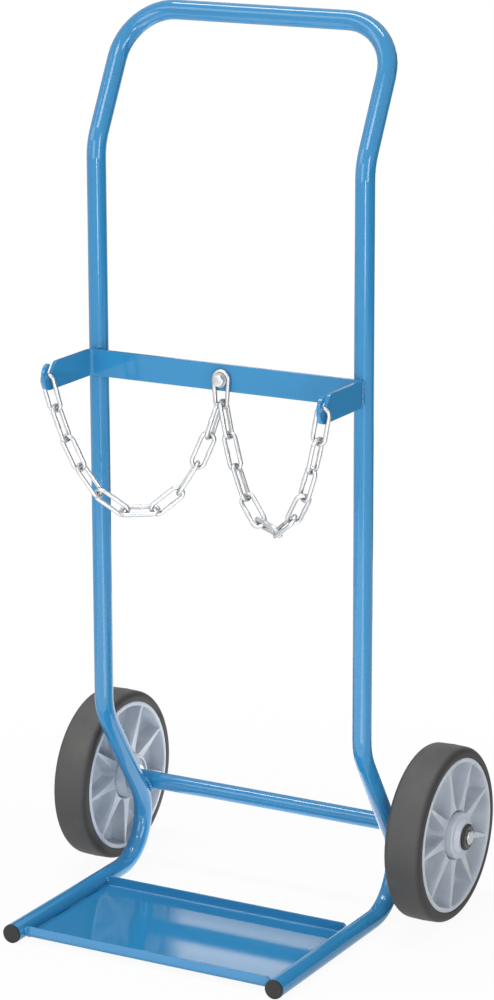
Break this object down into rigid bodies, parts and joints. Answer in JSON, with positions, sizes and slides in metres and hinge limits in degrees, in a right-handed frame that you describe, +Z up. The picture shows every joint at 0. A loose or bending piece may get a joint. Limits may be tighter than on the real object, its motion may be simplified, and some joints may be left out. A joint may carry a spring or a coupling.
{
  "type": "gas cylinder trolley",
  "caption": "Bent blue tube hand truck for gas cylinders, with ribbed wheels on a rear axle, a folded tray between the feet and retaining chains hung on a slotted strap.",
  "frame": {"origin": "on the floor, in the middle of the outer box", "axes": "+X to the right seen from the front, +Y to the back, towards the wheels, +Z up"},
  "size_m": [0.6334, 0.5008, 1.2687],
  "materials": {
    "blue_paint": "gloss powder coat",
    "bright_zinc": "bright zinc plate",
    "steel": "bright drawn steel",
    "black_plastic": "moulded",
    "black_spring_steel": "blackened",
    "grey_rubber": "matt moulded rubber",
    "grey_plastic": "moulded",
    "bush_plastic": "moulded"
  },
  "bodies": {
    "frame": {"main_frame_tube": "blue_paint", "axle_tube": "blue_paint", "platform_tray": "blue_paint", "chain_strap": "blue_paint", "axle_rod": "steel", "chain_bolt": "bright_zinc", "front_washer": "bright_zinc", "rear_washer": "bright_zinc", "lock_nut": "bright_zinc", "centre_chain_link": "bright_zinc", "left_foot_plug": "black_plastic", "left_thrust_washer": "steel", "left_lock_ring": "black_spring_steel", "left_chain_link_01": "bright_zinc", "left_chain_link_10": "bright_zinc", "right_foot_plug": "black_plastic", "right_thrust_washer": "steel", "right_lock_ring": "black_spring_steel", "right_chain_link_01": "bright_zinc", "right_chain_link_10": "bright_zinc"},
    "left_wheel": {"left_tyre": "grey_rubber", "left_rim": "grey_plastic", "left_hub": "grey_plastic", "left_inner_bush": "bush_plastic", "left_outer_bush": "bush_plastic"},
    "right_wheel": {"right_tyre": "grey_rubber", "right_rim": "grey_plastic", "right_hub": "grey_plastic", "right_inner_bush": "bush_plastic", "right_outer_bush": "bush_plastic"},
    "left_chain": {"left_chain_link_02": "bright_zinc", "left_chain_link_03": "bright_zinc", "left_chain_link_04": "bright_zinc", "left_chain_link_05": "bright_zinc", "left_chain_link_06": "bright_zinc", "left_chain_link_07": "bright_zinc", "left_chain_link_08": "bright_zinc", "left_chain_link_09": "bright_zinc"},
    "right_chain": {"right_chain_link_02": "bright_zinc", "right_chain_link_03": "bright_zinc", "right_chain_link_04": "bright_zinc", "right_chain_link_05": "bright_zinc", "right_chain_link_06": "bright_zinc", "right_chain_link_07": "bright_zinc", "right_chain_link_08": "bright_zinc", "right_chain_link_09": "bright_zinc"}
  },
  "joints": [
    {"name": "left_wheel_spin", "type": "hinge", "parent": "frame", "child": "left_wheel", "pos_m": [-0.26765, 0.12538, 0.125], "axis": [1, 0, 0], "continuous": true},
    {"name": "right_wheel_spin", "type": "hinge", "parent": "frame", "child": "right_wheel", "pos_m": [0.26765, 0.12538, 0.125], "axis": [1, 0, 0], "continuous": true},
    {"name": "left_chain_swing", "type": "hinge", "parent": "frame", "child": "left_chain", "pos_m": [-0.2021, -0.11694, 0.73294], "axis": [0.8811, 0.4393, -0.1753], "range_deg": [-20, 20]},
    {"name": "right_chain_swing", "type": "hinge", "parent": "frame", "child": "right_chain", "pos_m": [0.20207, -0.11691, 0.73294], "axis": [0.8833, -0.4421, 0.1564], "range_deg": [-20, 20]}
  ]
}
